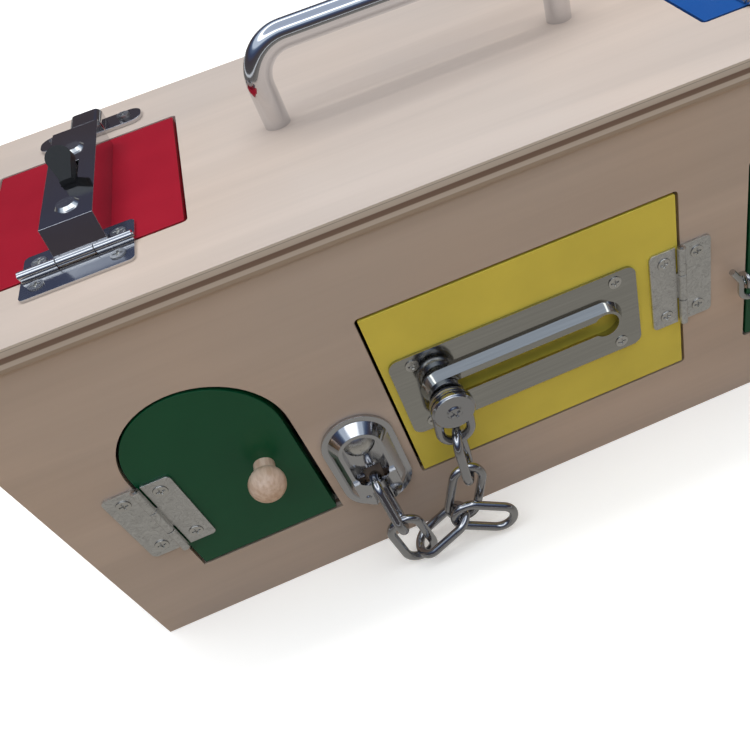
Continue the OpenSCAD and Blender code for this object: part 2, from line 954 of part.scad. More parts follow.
module chain_slide_plate() {
    s0 = slot_x0 - plate_x;
    s1 = s0 + slot_l;
    color("Silver")
    at_front(plate_x, plate_z)
        difference() {
            union() {
                linear_extrude(sheet_t)
                    round_rect(plate_l, plate_h, 4);
                rail_form(s0, s1, rail_r, rail_r - rail_slope, rail_h);
            }
            translate([0, 0, -0.01])
                rail_form(s0, s1, rail_r - sheet_t, rail_r - sheet_t - rail_slope, rail_h - sheet_t + 0.01);
            translate([0, 0, -1])
                linear_extrude(rail_h + 2)
                    slot_shape(s0, s1, slot_r);
            translate([s1, 0, -1])
                cylinder(r = key_r, h = rail_h + 2);
            for (p = plate_screws)
                translate([p[0] - plate_x, p[1] - plate_z, -1])
                    cylinder(r = head_r + fit, h = sheet_t + 2);
        }
}

module slide_plate_screws() {
    color("Silver")
    for (p = plate_screws)
        at_front(p[0], p[1])
            screw(shank_l, sheet_t + 0.4);
}

module hook_door() {
    color("DarkGreen")
    difference() {
        at_front(0, 0)
            translate([0, 0, -door_t])
                linear_extrude(door_t)
                    front_shape(hook_x0, hook_x1, door_gap);
        for (p = hook_screws)
            at_front(p[0], p[1])
                pilot(shank_l);
        at_front(hook_x, hook_z)
            translate([0, 0, -shank_l - play])
                cylinder(r = hook_wire + fit, h = shank_l + 2 * play);
    }
}

module hook_door_hinge_leaf() {
    color("Gray")
    at_front(hook_axis, front_hinge_z)
        door_leaf(-1);
}

module hook_door_screws() {
    color("Silver")
    for (p = hook_screws)
        at_front(p[0], p[1])
            screw(shank_l, head_h);
}

// A headed stud that carries the hook
module hook_pivot_eye() {
    color("Silver")
    at_front(hook_x, hook_z) {
        translate([0, 0, -shank_l])
            cylinder(r = hook_wire, h = shank_l + hook_out + hook_wire + play);
        cylinder(r = 3.2, h = hook_out - hook_wire - play);
        translate([0, 0, hook_out + hook_wire + play])
            cylinder(r = 3.2, h = 1.2);
    }
}

module red_lid() {
    color("Crimson")
    difference() {
        translate([0, 0, box_h - door_t])
            linear_extrude(door_t)
                lid_shape(red_x, door_gap);
        for (p = red_screws)
            at_top(p[0], p[1])
                pilot(shank_l);
        for (y = latch_posts)
            at_top(latch_x, y)
                translate([0, 0, -shank_l - play])
                    cylinder(r = latch_post_r + fit, h = shank_l + 2 * play);
    }
}

module red_lid_hinge_leaf() {
    color("Gray")
    at_top(red_x, lid_axis)
        along_x()
            door_leaf(1);
}

module red_lid_screws() {
    color("Silver")
    for (p = red_screws)
        at_top(p[0], p[1])
            screw(shank_l, head_h);
}

// A bar along Y from one height to another; its front leans back as it rises
module latch_form(w, y0, y1, z0, z1) {
    lean = latch_rake / latch_h;
    rotate([90, 0, 90])
        linear_extrude(w, center = true)
            polygon([[y0 - lean * (latch_h - z0), z0], [y1, z0], [y1, z1], [y0 - lean * (latch_h - z1), z1]]);
}

module latch_housing() {
    slot0 = thumb_y - stem_w / 2 - play;
    wall = sheet_t * norm([1, latch_rake / latch_h]);
    color("Silver")
    at_top(latch_x, 0)
        difference() {
            latch_form(latch_w, latch_y0, latch_y1, 0, latch_h);
            latch_form(latch_w - 2 * sheet_t, latch_y0 + wall, latch_y1 + 1, -1, latch_h - sheet_t);
            translate([-stem_w / 2 - play, slot0, 0])
                cube([stem_w + 2 * play, stem_w + latch_travel + 2 * play, latch_h + 1]);
            translate([-latch_w, lid_axis, -1])
                cube([2 * latch_w, leaf_w + play, leaf_t + 1 + fit]);
            for (y = latch_posts)
                translate([0, y, 0])
                    cylinder(r = latch_post_r + fit, h = latch_h + 1);
        }
}

// Two headed posts that hold the housing to the lid and guide the bolt
module latch_rivets() {
    color("Silver")
    for (y = latch_posts)
        at_top(latch_x, y) {
            translate([0, 0, -shank_l])
                cylinder(r = latch_post_r, h = shank_l + latch_h + 0.2);
            translate([0, 0, latch_h])
                cylinder(r1 = rivet_r, r2 = rivet_r - 0.9, h = rivet_h);
        }
}

module blue_lid() {
    color("RoyalBlue")
    difference() {
        translate([0, 0, box_h - door_t])
            linear_extrude(door_t)
                lid_shape(blue_x, door_gap);
        for (p = concat(blue_screws, rod_screws))
            at_top(p[0], p[1])
                pilot(shank_l);
    }
}

module blue_lid_hinge_leaf() {
    color("Gray")
    at_top(blue_x, lid_axis)
        along_x()
            door_leaf(1);
}

module blue_lid_screws() {
    color("Silver")
    for (p = blue_screws)
        at_top(p[0], p[1])
            screw(shank_l, head_h);
}

module barrel_plate() {
    w = rod_r + play;
    color("Silver")
    difference() {
        union() {
            at_top(blue_x, rod_plate_y0 + rod_plate_l / 2)
                linear_extrude(strap_t)
                    round_rect(rod_plate_w, rod_plate_l, 3);
            for (y = [0, rod_plate_l - 8])
                at_top(blue_x, rod_plate_y0 + y) {
                    translate([-w - strap_t, 0, 0])
                        cube([2 * w + 2 * strap_t, 8, rod_z]);
                    translate([0, 0, rod_z])
                        rotate([-90, 0, 0])
                            cylinder(r = w + strap_t, h = 8);
                }
        }
        at_top(blue_x, rod_plate_y0 - 1)
            translate([0, 0, rod_z])
                rotate([-90, 0, 0])
                    cylinder(r = w, h = rod_plate_l + 2);
        for (p = rod_screws)
            at_top(p[0], p[1])
                translate([0, 0, -1])
                    cylinder(r = shank_r + fit, h = strap_t + 2);
    }
}

module barrel_plate_screws() {
    color("Silver")
    for (p = rod_screws)
        at_top(p[0], p[1])
            screw(shank_l, strap_t + head_h);
}

module latch_bolt() {
    y0 = latch_y0 + sheet_t + 2;
    color("Silver")
    at_top(latch_x, 0)
        difference() {
            translate([-bolt_w / 2, y0, bolt_z])
                cube([bolt_w, bolt_y1 - y0, bolt_t]);
            for (y = latch_posts)
                translate([0, 0, bolt_z - 1])
                    linear_extrude(bolt_t + 2)
                        translate([0, y - latch_travel])
                            union() {
                                translate([-latch_post_r - play, 0])
                                    square([2 * latch_post_r + 2 * play, latch_travel]);
                                circle(r = latch_post_r + play);
                                translate([0, latch_travel])
                                    circle(r = latch_post_r + play);
                            }
            translate([-stem_w / 2, thumb_y - stem_w / 2, bolt_z + bolt_t - 2])
                cube([stem_w, stem_w, 3]);
        }
}

// A thumb piece: a stem through the slot and a rounded tongue that leans back
module latch_thumb_lever() {
    z0 = bolt_z + bolt_t - 2;
    z1 = latch_h + 1.6;
    color("Black")
    at_top(latch_x, thumb_y) {
        translate([-stem_w / 2, -stem_w / 2, z0])
            cube([stem_w, stem_w, z1 - z0]);
        difference() {
            translate([0, -stem_w / 2, latch_h + 1.8])
                rotate([thumb_lean, 0, 0])
                    translate([0, 0, -thumb_t])
                        linear_extrude(thumb_t) {
                            polygon([[-thumb_foot, 0], [thumb_foot, 0],
                                [thumb_w / 2, thumb_l - thumb_w / 2], [-thumb_w / 2, thumb_l - thumb_w / 2]]);
                            translate([0, thumb_l - thumb_w / 2])
                                circle(r = thumb_w / 2);
                        }
            translate([-thumb_w, -thumb_l, latch_h + play - 2 * thumb_t])
                cube([2 * thumb_w, 3 * thumb_l, 2 * thumb_t]);
        }
    }
}

module barrel_rod() {
    y0 = rod_plate_y0 + 1;
    color("Silver")
    at_top(blue_x, 0) {
        translate([0, y0, rod_z])
            rotate([-90, 0, 0])
                cylinder(r = rod_r, h = rod_y1 - y0);
        translate([0, rod_plate_y0 + grip_in, rod_z])
            cylinder(r = grip_r, h = grip_h);
        translate([0, rod_plate_y0 + grip_in, rod_z + grip_h])
            sphere(r = grip_ball_r);
    }
}

// A wire hook: a ring round the stud, a straight shank and an upturned tip that leans outwards
module door_hook() {
    ring = hook_wire + 0.1 + hook_wire;
    color("Silver")
    at_front(hook_x, hook_z)
        translate([0, 0, hook_out]) {
            rotate_extrude()
                translate([ring, 0])
                    circle(r = hook_wire, $fn = 24);
            translate([-hook_l, 0, 0])
                rotate([0, 90, 0])
                    cylinder(r = hook_wire, h = hook_l - ring, $fn = 24);
            translate([-hook_l, hook_bend, 0])
                rotate([0, 0, 180])
                    rotate_extrude(angle = 90)
                        translate([hook_bend, 0])
                            circle(r = hook_wire, $fn = 24);
            translate([-hook_l - hook_bend, hook_bend, 0])
                rotate([-90, 0, 0])
                    cylinder(r = hook_wire, h = hook_up, $fn = 24);
            translate([-hook_l - hook_bend - hook_turn, hook_bend + hook_up, 0]) {
                rotate_extrude(angle = hook_lean)
                    translate([hook_turn, 0])
                        circle(r = hook_wire, $fn = 24);
                rotate([0, 0, hook_lean])
                    translate([hook_turn, 0, 0])
                        rotate([-90, 0, 0])
                            cylinder(r = hook_wire, h = hook_tip, $fn = 24);
            }
        }
}

module chain_slider() {
    color("Silver")
    at_front(slot_x0, plate_z)
        difference() {
            union() {
                translate([0, 0, 0.5])
                    cylinder(r = flange_r, h = rail_h - sheet_t - play - 0.5);
                translate([0, 0, 0.5])
                    cylinder(r = neck_r, h = head_z);
                translate([0, 0, collar_z])
                    cylinder(r = slider_r - 1.5, h = collar_t);
                translate([0, 0, head_z]) {
                    cylinder(r = slider_r - groove_t, h = slider_t);
                    cylinder(r = slider_r, h = groove_z);
                    translate([0, 0, groove_z + groove_t])
                        cylinder(r = slider_r, h = slider_t - groove_z - groove_t - head_bevel);
                    translate([0, 0, slider_t - head_bevel])
                        cylinder(r1 = slider_r, r2 = slider_r - head_bevel, h = head_bevel);
                    translate([0, 0, slider_t])
                        cylinder(r1 = slider_r / 2.6, r2 = slider_r / 3.4, h = cap_t);
                }
            }
            for (a = [0, 90])
                rotate([0, 0, a + 20])
                    translate([0, 0, head_z + slider_t + cap_t])
                        cube([slider_r / 2, 1, 2 * cap_t], center = true);
        }
}

module chain_link_1() {
    color("Silver")
    hang(top_1, dir_1, 0);
}

module chain_link_2() {
    color("Silver")
    hang(top_2, dir_2, 72);
}

module chain_link_3() {
    color("Silver")
    hang(top_3, dir_3, -4);
}

module chain_link_4() {
    color("Silver")
    hang(top_4, dir_4, 0);
}

module chain_link_5() {
    color("Silver")
    hang(top_5, dir_5, 90);
}

module chain_link_6() {
    color("Silver")
    hang(top_6, dir_6, 0);
}

module chain_link_7() {
    color("Silver")
    hang(top_7, dir_7, 90);
}

top_panel();
front_panel();
back_panel();
left_end_panel();
right_end_panel();
bottom_panel();
left_divider();
right_divider();
carry_handle();
handle_screws();
arch_hinge_frame_leaf();
chain_door_hinge_frame_leaf();
hook_door_hinge_frame_leaf();
red_lid_hinge_frame_leaf();
blue_lid_hinge_frame_leaf();
hinge_pins();
frame_screws();
latch_keeper();
bolt_staple();
chain_anchor_plate();
anchor_screw();
fixed_eye();
magnet_catch();
arch_door();
arch_door_hinge_leaf();
arch_door_screws();
ball_knob();
knob_screw();
catch_plate();
chain_door();
chain_door_hinge_leaf();
chain_door_screws();
chain_slide_plate();
slide_plate_screws();
hook_door();
hook_door_hinge_leaf();
hook_door_screws();
hook_pivot_eye();
red_lid();
red_lid_hinge_leaf();
red_lid_screws();
latch_housing();
latch_rivets();
blue_lid();
blue_lid_hinge_leaf();
blue_lid_screws();
barrel_plate();
barrel_plate_screws();
latch_bolt();
latch_thumb_lever();
barrel_rod();
door_hook();
chain_slider();
chain_link_1();
chain_link_2();
chain_link_3();
chain_link_4();
chain_link_5();
chain_link_6();
chain_link_7();
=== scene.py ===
"""Finishes, stage and camera for a plywood lock box with small doors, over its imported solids."""

import json
import math

import bmesh
import bpy
from mathutils import Matrix, Vector

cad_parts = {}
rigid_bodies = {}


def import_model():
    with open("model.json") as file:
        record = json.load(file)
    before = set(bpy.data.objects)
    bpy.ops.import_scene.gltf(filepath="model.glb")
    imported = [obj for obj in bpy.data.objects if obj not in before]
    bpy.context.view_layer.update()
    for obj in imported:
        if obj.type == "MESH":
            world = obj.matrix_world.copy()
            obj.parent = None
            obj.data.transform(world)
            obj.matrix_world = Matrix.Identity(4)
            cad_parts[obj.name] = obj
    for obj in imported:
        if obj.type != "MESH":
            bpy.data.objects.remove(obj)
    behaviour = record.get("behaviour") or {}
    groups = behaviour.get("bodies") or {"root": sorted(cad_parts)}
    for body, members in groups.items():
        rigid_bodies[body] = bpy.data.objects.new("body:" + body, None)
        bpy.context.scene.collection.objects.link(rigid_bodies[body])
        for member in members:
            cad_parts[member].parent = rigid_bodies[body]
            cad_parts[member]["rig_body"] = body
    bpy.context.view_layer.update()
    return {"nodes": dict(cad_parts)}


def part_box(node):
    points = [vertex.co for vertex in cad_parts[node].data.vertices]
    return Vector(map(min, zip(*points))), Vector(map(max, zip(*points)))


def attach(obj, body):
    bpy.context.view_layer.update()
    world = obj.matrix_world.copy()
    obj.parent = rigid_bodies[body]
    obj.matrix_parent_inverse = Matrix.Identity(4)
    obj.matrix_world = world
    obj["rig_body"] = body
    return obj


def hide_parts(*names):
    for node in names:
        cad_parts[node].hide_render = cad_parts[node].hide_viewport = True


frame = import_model()

bl_info = {
    "name": "Lock box toy",
    "version": (1, 0, 0),
    "blender": (4, 5, 0),
    "location": "3D View > Sidebar > Lock box",
    "description": "Finishes, stage and camera for a plywood lock box with small doors",
    "category": "Object",
}


def linear(hex_colour):
    """Turns an sRGB hex value such as #d8c8b4 into linear red, green and blue."""
    parts = [int(hex_colour[i : i + 2], 16) / 255 for i in (1, 3, 5)]
    return tuple(c / 12.92 if c <= 0.04045 else ((c + 0.055) / 1.055) ** 2.4 for c in parts)


def shaded(colour, factor):
    """A linear colour made darker or lighter by a factor."""
    return tuple(min(1.0, c * factor) for c in colour)


MM = 0.001
AXES = "XYZ"
NODES = frame["nodes"]
LID_LEAVES = sorted(n for n in NODES if n.endswith("_leaf") and "_lid_" in n)
DOOR_LEAVES = sorted(n for n in NODES if n.endswith("_leaf") and "_lid_" not in n)
SCREWS = sorted(n for n in NODES if n.endswith(("_screws", "_screw")))
LINKS = sorted(n for n in NODES if n.startswith("chain_link"))
# Each panel with the axis across its thickness and the axis that its grain follows
PANELS = {
    "top_panel": ("Z", "X"),
    "front_panel": ("Y", "X"),
    "back_panel": ("Y", "X"),
    "left_end_panel": ("X", "Y"),
    "right_end_panel": ("X", "Y"),
    "bottom_panel": ("Z", "X"),
}
# Cut edge of the plywood from its low face to its high one, as (share of the thickness, colour)
PLIES = [
    (0.0, linear("#b3a08d")),
    (0.17, linear("#b09c88")),
    (0.21, linear("#d3c7ba")),
    (0.38, linear("#cfc1b2")),
    (0.42, linear("#8a7363")),
    (0.62, linear("#83695a")),
    (0.66, linear("#d0c3b5")),
    (0.87, linear("#d5cabd")),
    (0.89, linear("#9f9488")),
    (0.92, linear("#ddd2c5")),
]

# Refractive index, which sets how strongly a coat or a plastic mirrors
PLYWOOD_LACQUER_IOR = 1.49
ENAMEL_IOR = 1.42
BEECH_LACQUER_IOR = 1.5
PLASTIC_IOR = 1.53
# Roughness, with the lowest and the highest value where it varies over the surface
PLYWOOD_ROUGHNESS = (0.27, 0.33)
ENAMEL_ROUGHNESS = (0.26, 0.36)
TUMBLED_ROUGHNESS = (0.26, 0.42)
NICKEL_ROUGHNESS = (0.07, 0.13)
BEECH_ROUGHNESS = 0.3
PINE_ROUGHNESS = 0.7
PAPER_ROUGHNESS = 0.9
# What handling adds to the roughness of plating, and what a mould's texture adds or takes on plastic
HAZE = 0.06
SPARK = 0.05

# Rounding of the latch's edges
HOUSING_EDGE = 0.8 * MM
KEEPER_EDGE = 0.6 * MM
BOLT_EDGE = 0.4 * MM
LEVER_EDGE = 0.8 * MM
# Points nearer than this, in metres, are one
WELD = 1e-6
# Faces that meet at less than this are one flat face
FLAT_DEG = 0.5
# Edges that turn by more than this are rounded, or stay crisp in the shading
ROUNDED_DEG = 35.0
CRISP_DEG = 38.0

# Lights as (name, place, aim, size, watts, colour), in metres
LIGHTS = [
    ("front_ceiling_tubes", (0.0, -0.36, 1.6), (0.0, -0.36, 0.0), (2.0, 0.1), 4.2, "#f9fdff"),
    ("back_ceiling_tubes", (0.0, 0.26, 1.6), (0.0, 0.26, 0.0), (2.0, 0.1), 4.2, "#f9fdff"),
    ("white_ceiling", (0.0, 0.8, 2.0), (0.0, 0.8, 0.0), (2.6, 1.6), 17.0, "#eef6ff"),
]
# The room that polished metal shows, from straight below to straight above, as (share, light)
ROOM = [
    (0.0, (0.36, 0.35, 0.33)),
    (0.3, (0.3, 0.29, 0.27)),
    (0.44, (0.17, 0.16, 0.15)),
    (0.49, (0.12, 0.11, 0.11)),
    (0.5, (0.7, 0.73, 0.76)),
    (0.52, (0.7, 0.73, 0.76)),
    (0.53, (0.09, 0.085, 0.085)),
    (0.66, (0.07, 0.06, 0.07)),
    (0.74, (0.06, 0.08, 0.15)),
    (0.79, (0.12, 0.17, 0.27)),
    (0.82, (0.62, 0.72, 0.86)),
    (0.88, (0.6, 0.69, 0.83)),
    (0.9, (2.4, 2.5, 2.6)),
    (0.93, (2.4, 2.5, 2.6)),
    (0.945, (0.52, 0.6, 0.74)),
    (1.0, (0.46, 0.53, 0.66)),
]
# What the camera sees behind the box, and the light of its own that lifts the paper for the camera
BACKGROUND = (1.0, 1.0, 1.0)
PAPER_LIGHT = (1.0, 0.97, 0.92)
PAPER_LIFT = 0.3

# The camera's place, and its directions to the right, up and back
CAMERA_MM = (-46.5, -287.2, 282.2)
CAMERA_AXES = (
    (0.9192, -0.3335, -0.2094),
    (0.3838, 0.6402, 0.6654),
    (-0.0879, -0.692, 0.7165),
)
SENSOR_MM = 36.0
LENS_MM = 36.56
# How far the picture lies off the lens axis, as a share of its width
LENS_SHIFT = (-0.1532, 0.0163)
# Nearest and farthest that the camera sees, in metres
CLIP = (0.01, 50.0)


# Shader nodes


def feed(tree, node, inputs):
    """Gives a node its inputs: a socket is linked, and a value is set."""
    for key, value in inputs.items():
        if isinstance(value, bpy.types.NodeSocket):
            tree.links.new(value, node.inputs[key])
        else:
            node.inputs[key].default_value = value


def add(tree, kind, inputs=None, stops=None, **settings):
    """Adds a node with its properties (settings), its inputs and the colours of its ramp (stops)."""
    node = tree.nodes.new(kind)
    for key, value in settings.items():
        setattr(node, key, value)
    feed(tree, node, inputs or {})
    for i, (place, colour) in enumerate(stops or []):
        element = node.color_ramp.elements[i] if i < 2 else node.color_ramp.elements.new(place)
        element.position = place
        element.color = (*colour, 1.0)
    return node


def object_place(tree):
    """Where a point lies in its piece, in metres."""
    return add(tree, "ShaderNodeTexCoord").outputs["Object"]


def stretched(tree, place, scale):
    """A place scaled by axis, which draws a texture out along the axis of the least scale."""
    return add(tree, "ShaderNodeMapping", {"Vector": place, "Scale": scale}).outputs[0]


def noise(tree, place, scale=1.0, **inputs):
    """Noise between 0 and 1, with patches one part in scale of a metre across."""
    node = add(tree, "ShaderNodeTexNoise", {"Vector": place, "Scale": scale, **inputs})
    return node.outputs["Fac"]


def ramp(tree, value, stops):
    """The colour for a value, from stops as (value, colour)."""
    return add(tree, "ShaderNodeValToRGB", {"Fac": value}, stops).outputs["Color"]


def ranged(tree, value, source=(0.0, 1.0), target=(0.0, 1.0)):
    """A value carried from its source range into a target range, and held there."""
    ends = {
        "From Min": source[0],
        "From Max": source[1],
        "To Min": target[0],
        "To Max": target[1],
    }
    return add(tree, "ShaderNodeMapRange", {"Value": value, **ends}).outputs[0]


def mixed(tree, factor, first, second, blend="MIX"):
    """Two colours mixed by a factor from 0 to 1."""
    node = add(
        tree,
        "ShaderNodeMix",
        {"Factor": factor, "A": first, "B": second},
        data_type="RGBA",
        blend_type=blend,
    )
    return node.outputs["Result"]


def multiplied(tree, first, second):
    """Two colours multiplied."""
    return mixed(tree, 1.0, first, second, "MULTIPLY")


def bumped(tree, height, strength, depth):
    """Normals of a surface that a height raises, by up to a depth in metres."""
    inputs = {"Strength": strength, "Distance": depth, "Height": height}
    return add(tree, "ShaderNodeBump", inputs).outputs[0]


# Materials


def new_material(name):
    """A fresh material with only its output and a Principled shader."""
    made = bpy.data.materials.new(name)
    made.use_nodes = True
    tree = made.node_tree
    tree.nodes.clear()
    shader = tree.nodes.new("ShaderNodeBsdfPrincipled")
    output = tree.nodes.new("ShaderNodeOutputMaterial")
    tree.links.new(shader.outputs["BSDF"], output.inputs["Surface"])
    return made, tree, shader


def birch_plywood(name, node, across, along):
    """Birch plywood, peeled, sanded and lacquered.

    To the eye: pale beige faces with soft brown and pinkish streaks along the grain, a quiet satin
    sheen, and cut edges that show light and dark plies.
    """
    made, tree, shader = new_material(name)
    base = tuple(bpy.context.scene.lock_box_colours.plywood)
    place = object_place(tree)
    # Soft streaks 20 mm wide and 250 mm long, and fine grain 2 mm wide and 60 mm long
    broad_scale = tuple(4.0 if axis == along else 50.0 for axis in AXES)
    fine_scale = tuple(16.0 if axis == along else 500.0 for axis in AXES)
    broad_place = stretched(tree, place, broad_scale)
    broad = noise(tree, broad_place, Detail=3.0, Roughness=0.5, Distortion=0.6)
    fine = noise(tree, stretched(tree, place, fine_scale), Detail=2.0, Roughness=0.5)
    # Paler and pinker clouds of the veneer, about 120 mm across
    cloud = noise(tree, place, 8.0, Detail=2.0)
    streaks = ramp(tree, broad, [(0.3, shaded(base, 0.92)), (0.7, shaded(base, 1.07))])
    pink = ramp(tree, cloud, [(0.35, (0.94, 0.95, 0.97)), (0.65, (1.0, 0.965, 0.94))])
    lines = ramp(tree, fine, [(0.32, (0.983, 0.978, 0.974)), (0.58, (1.0, 1.0, 1.0))])
    face = multiplied(tree, multiplied(tree, streaks, pink), lines)
    # The cut edge shows the plies, which waver by about a tenth of a millimetre
    low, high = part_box(node)
    i = AXES.index(across)
    split = add(tree, "ShaderNodeSeparateXYZ", {"Vector": place})
    depth = ranged(tree, split.outputs[i], (low[i], high[i]))
    waver_share = 0.03
    wavered = add(
        tree,
        "ShaderNodeMath",
        {0: broad, 1: waver_share, 2: depth},
        operation="MULTIPLY_ADD",
    )
    cut = multiplied(tree, ramp(tree, wavered.outputs[0], PLIES), lines)
    # A surface is a face where its normal lies along the thickness, and fades into the cut on the round
    geometry = add(tree, "ShaderNodeNewGeometry")
    normal = add(tree, "ShaderNodeSeparateXYZ", {"Vector": geometry.outputs["Normal"]})
    facing = add(tree, "ShaderNodeMath", {0: normal.outputs[i]}, operation="ABSOLUTE")
    fade = (0.45, 0.75)
    is_face = ranged(tree, facing.outputs[0], fade)
    finish = {
        "Base Color": mixed(tree, is_face, cut, face),
        "Roughness": ranged(tree, fine, target=PLYWOOD_ROUGHNESS),
        "Normal": bumped(tree, fine, strength=0.02, depth=0.2 * MM),
        "IOR": PLYWOOD_LACQUER_IOR,
    }
    feed(tree, shader, finish)
    return made


def satin_enamel(name, colour):
    """Enamel sprayed on a sanded board.

    To the eye: one strong colour, a soft sheen, and a very slight orange peel and fading.
    """
    made, tree, shader = new_material(name)
    place = object_place(tree)
    # Thicker and thinner paint in patches about 25 mm across
    patch = noise(tree, place, 40.0, Detail=3.0)
    # Orange peel about 2 mm across, drawn coarser than the real one so that it shows
    peel = noise(tree, place, 500.0, Detail=2.0)
    tints = [(0.3, shaded(colour, 0.94)), (0.7, shaded(colour, 1.05))]
    finish = {
        "Base Color": ramp(tree, patch, tints),
        "Roughness": ranged(tree, patch, target=ENAMEL_ROUGHNESS),
        "Normal": bumped(tree, peel, strength=0.04, depth=0.2 * MM),
        "IOR": ENAMEL_IOR,
    }
    feed(tree, shader, finish)
    return made


def tumbled_steel(name, hex_colour):
    """Nickel-plated steel strip, stamped and tumbled.

    To the eye: a light grey metal with faint curling scratches that catch the light.
    """
    made, tree, shader = new_material(name)
    place = object_place(tree)
    # Patches 5 mm across push the scratches by up to 12 mm, so that they curl
    warp = add(tree, "ShaderNodeTexNoise", {"Vector": place, "Scale": 200.0, "Detail": 1.0})
    push = {0: warp.outputs["Color"], "Scale": 12 * MM}
    shift = add(tree, "ShaderNodeVectorMath", push, operation="SCALE")
    curled = add(tree, "ShaderNodeVectorMath", {0: place, 1: shift.outputs[0]}, operation="ADD")
    # Scratches 2.4 mm apart and closer, coarser than real so that they show
    scratch = noise(tree, curled.outputs[0], 420.0, Detail=4.0, Roughness=0.65, Distortion=1.6)
    base = linear(hex_colour)
    shades = [(0.34, shaded(base, 0.82)), (0.68, shaded(base, 1.22))]
    finish = {
        "Base Color": ramp(tree, scratch, shades),
        "Roughness": ranged(tree, scratch, (0.3, 0.7), TUMBLED_ROUGHNESS),
        "Normal": bumped(tree, scratch, strength=0.1, depth=0.1 * MM),
        "Metallic": 1.0,
    }
    feed(tree, shader, finish)
    return made


def satin_nickel(name, hex_colour):
    """Satin nickel on a pressed steel sheet.

    To the eye: an even grey with a soft sheen and faint rolling lines along the sheet.
    """
    made, tree, shader = new_material(name)
    # Rolling lines about 1 mm apart, coarser than real so that they show
    stretch = stretched(tree, object_place(tree), (25.0, 1000.0, 1000.0))
    roll = noise(tree, stretch, Detail=3.0)
    base = linear(hex_colour)
    shades = [(0.3, shaded(base, 0.94)), (0.7, shaded(base, 1.06))]
    finish = {
        "Base Color": ramp(tree, roll, shades),
        "Roughness": ranged(tree, roll, target=NICKEL_ROUGHNESS),
        "Metallic": 1.0,
    }
    feed(tree, shader, finish)
    return made


def polished_plate(name, hex_colour, roughness):
    """Chromium, nickel or zinc plated on polished steel.

    To the eye: a mirror with a slight haze where it is handled.
    """
    made, tree, shader = new_material(name)
    # Haze in patches about 12 mm across
    haze = noise(tree, object_place(tree), 80.0, Detail=3.0)
    finish = {
        "Base Color": (*linear(hex_colour), 1.0),
        "Roughness": ranged(tree, haze, (0.35, 0.7), (roughness, roughness + HAZE)),
        "Metallic": 1.0,
    }
    feed(tree, shader, finish)
    return made


def turned_beech(name):
    """Beech, turned and lacquered.

    To the eye: pale pinkish wood with short flecks and a gentle gloss.
    """
    made, tree, shader = new_material(name)
    # Flecks about 1.2 mm wide and 9 mm long
    stretch = stretched(tree, object_place(tree), (830.0, 110.0, 830.0))
    fleck = noise(tree, stretch, Detail=4.0)
    finish = {
        "Base Color": ramp(tree, fleck, [(0.35, linear("#ccab90")), (0.62, linear("#e0c5ae"))]),
        "Roughness": BEECH_ROUGHNESS,
        "IOR": BEECH_LACQUER_IOR,
    }
    feed(tree, shader, finish)
    return made


def planed_pine(name):
    """Pine board, planed and left bare.

    To the eye: dull, warm boards with grain from front to back.
    """
    made, tree, shader = new_material(name)
    # Grain about 3 mm wide
    stretch = stretched(tree, object_place(tree), (330.0, 15.0, 330.0))
    grain = noise(tree, stretch, Detail=4.0)
    finish = {
        "Base Color": ramp(tree, grain, [(0.3, linear("#b8996f")), (0.7, linear("#d6bd96"))]),
        "Roughness": PINE_ROUGHNESS,
    }
    feed(tree, shader, finish)
    return made


def moulded_plastic(name, hex_colour, roughness):
    """Plastic, injection-moulded.

    To the eye: one even, dark colour with a soft gloss and a faint mould texture.
    """
    made, tree, shader = new_material(name)
    # Spark texture of the mould, about 1 mm so that it shows
    spark = noise(tree, object_place(tree), 1000.0, Detail=2.0)
    finish = {
        "Base Color": (*linear(hex_colour), 1.0),
        "Roughness": ranged(tree, spark, target=(roughness - SPARK, roughness + SPARK)),
        "IOR": PLASTIC_IOR,
    }
    feed(tree, shader, finish)
    return made


def matt_paper(name, look):
    """Paper, uncoated and matt.

    To the eye: a pale, even sheet that goes over into the background and sends a warm light up.
    """
    made, tree, shader = new_material(name)
    seen = add(tree, "ShaderNodeLightPath").outputs["Is Camera Ray"]
    lift = add(tree, "ShaderNodeMath", {0: seen, 1: PAPER_LIFT}, operation="MULTIPLY")
    finish = {
        "Base Color": mixed(tree, seen, (*look.glow, 1.0), (*look.floor, 1.0)),
        "Roughness": PAPER_ROUGHNESS,
        "Emission Color": (*PAPER_LIGHT, 1.0),
        "Emission Strength": lift.outputs[0],
    }
    feed(tree, shader, finish)
    return made


def dress(pieces, material):
    """Gives each piece the one material."""
    for piece in pieces:
        piece.data.materials.clear()
        piece.data.materials.append(material)


# Meshes


